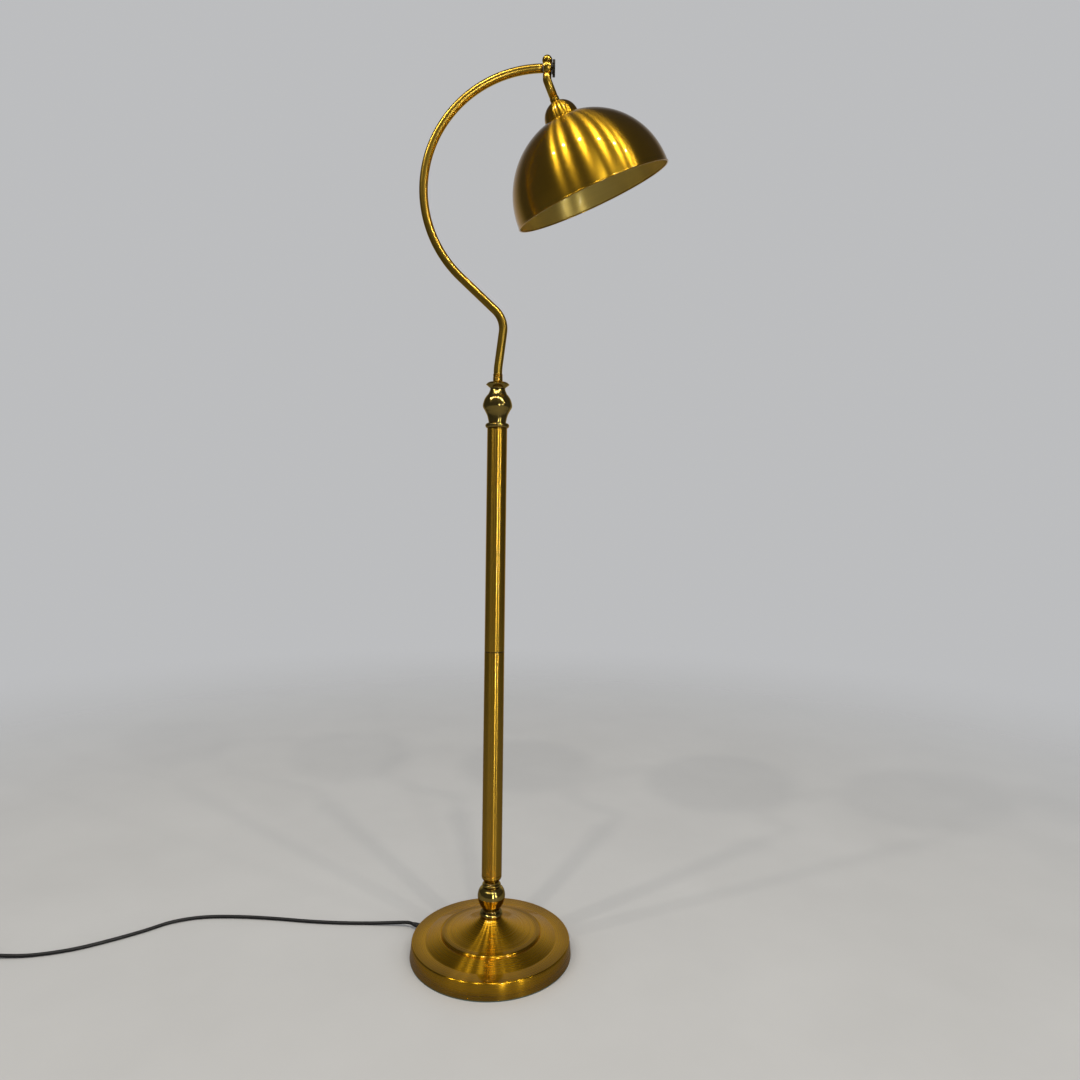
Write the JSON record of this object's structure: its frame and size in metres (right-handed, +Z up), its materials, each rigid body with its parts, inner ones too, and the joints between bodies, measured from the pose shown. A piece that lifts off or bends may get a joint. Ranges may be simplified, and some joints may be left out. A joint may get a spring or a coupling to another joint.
{
  "type": "adjustable floor lamp",
  "caption": "Floor lamp with a stepped round base, turned column, hooked swivel arm and tilted dome shade that turns at the arm's end, with a mains cord, foot switch and plug.",
  "frame": {"origin": "on the floor at the middle of the base, on the column's axis", "axes": "+Z up the column, +X to the side that the arm's hook opens to and the shade hangs on, +Y away from the viewer of the picture"},
  "size_m": [1.3155, 0.3988, 1.5702],
  "materials": {
    "satin_brass": "antique brass, lathe-brushed under clear lacquer",
    "polished_brass": "antique brass, polished and darker in the hollows",
    "dark_brass": "dark bronzed brass",
    "steel": "zinc-plated",
    "iron": "raw casting",
    "black_plastic": "fine-grained moulding",
    "black_cord": "satin sheath",
    "felt": "felt",
    "cream_insulator": "glazed insulator",
    "thread_metal": "rolled screw cap",
    "opal_bulb": "opal, unlit"
  },
  "bodies": {
    "stand": {"felt_pad": "felt", "base_weight": "iron", "base_shell": "satin_brass", "base_spacer": "steel", "base_nipple": "steel", "base_washer": "steel", "base_nut": "steel", "strain_relief": "black_plastic", "column_wire": "black_cord", "foot_ring": "polished_brass", "lower_baluster": "polished_brass", "lower_collar": "polished_brass", "lower_plug": "satin_brass", "lower_tube": "satin_brass", "column_coupler": "dark_brass", "upper_tube": "satin_brass", "upper_plug": "steel", "urn_ring": "polished_brass", "urn": "polished_brass", "urn_neck": "polished_brass", "urn_nipple": "steel", "swivel_socket": "satin_brass", "mains_cord": "black_cord", "foot_switch_base": "black_plastic", "foot_switch_cover": "black_plastic", "foot_switch_contacts": "cream_insulator", "cord_coil": "black_cord", "coil_tie": "steel", "plug_body": "black_plastic", "plug_pins": "steel"},
    "arm": {"arm_ferrule": "satin_brass", "swivel_clip": "steel", "swivel_washer": "black_plastic", "arm_tube": "satin_brass", "arm_sleeve": "satin_brass", "arm_hub": "polished_brass", "arm_wire": "black_cord"},
    "knob": {"clamp_screw": "steel", "clamp_knob": "dark_brass"},
    "head": {"spindle": "steel", "hub_washers": "steel", "ball_finial": "polished_brass", "stem": "satin_brass", "stem_nipple": "steel", "stem_wire": "black_cord", "stem_collar": "satin_brass", "shade_cap": "satin_brass", "shade": "satin_brass", "shade_nut": "steel", "holder_cap": "black_plastic", "holder_sleeve": "black_plastic", "holder_insert": "cream_insulator", "holder_contact": "satin_brass", "bulb_cap": "thread_metal", "bulb_glass": "opal_bulb"},
    "switch_button": {"foot_switch_button": "black_plastic"}
  },
  "joints": [
    {"name": "arm_swivel", "type": "hinge", "parent": "stand", "child": "arm", "pos_m": [0, 0, 1.0042], "axis": [0, 0, 1], "range_deg": [-170, 170]},
    {"name": "head_swivel", "type": "hinge", "parent": "arm", "child": "head", "pos_m": [0.07952, 0, 1.54733], "axis": [0, 0, 1], "range_deg": [-117, 63]},
    {"name": "knob_turn", "type": "hinge", "parent": "arm", "child": "knob", "pos_m": [0.07952, 0, 1.54733], "axis": [1, 0, 0], "range_deg": [0, 180]},
    {"name": "switch_press", "type": "slide", "parent": "stand", "child": "switch_button", "axis": [0, 0, -1], "range_m": [0, 0.003], "stiffness_N_per_m": 600, "springref_m": -0.002}
  ]
}
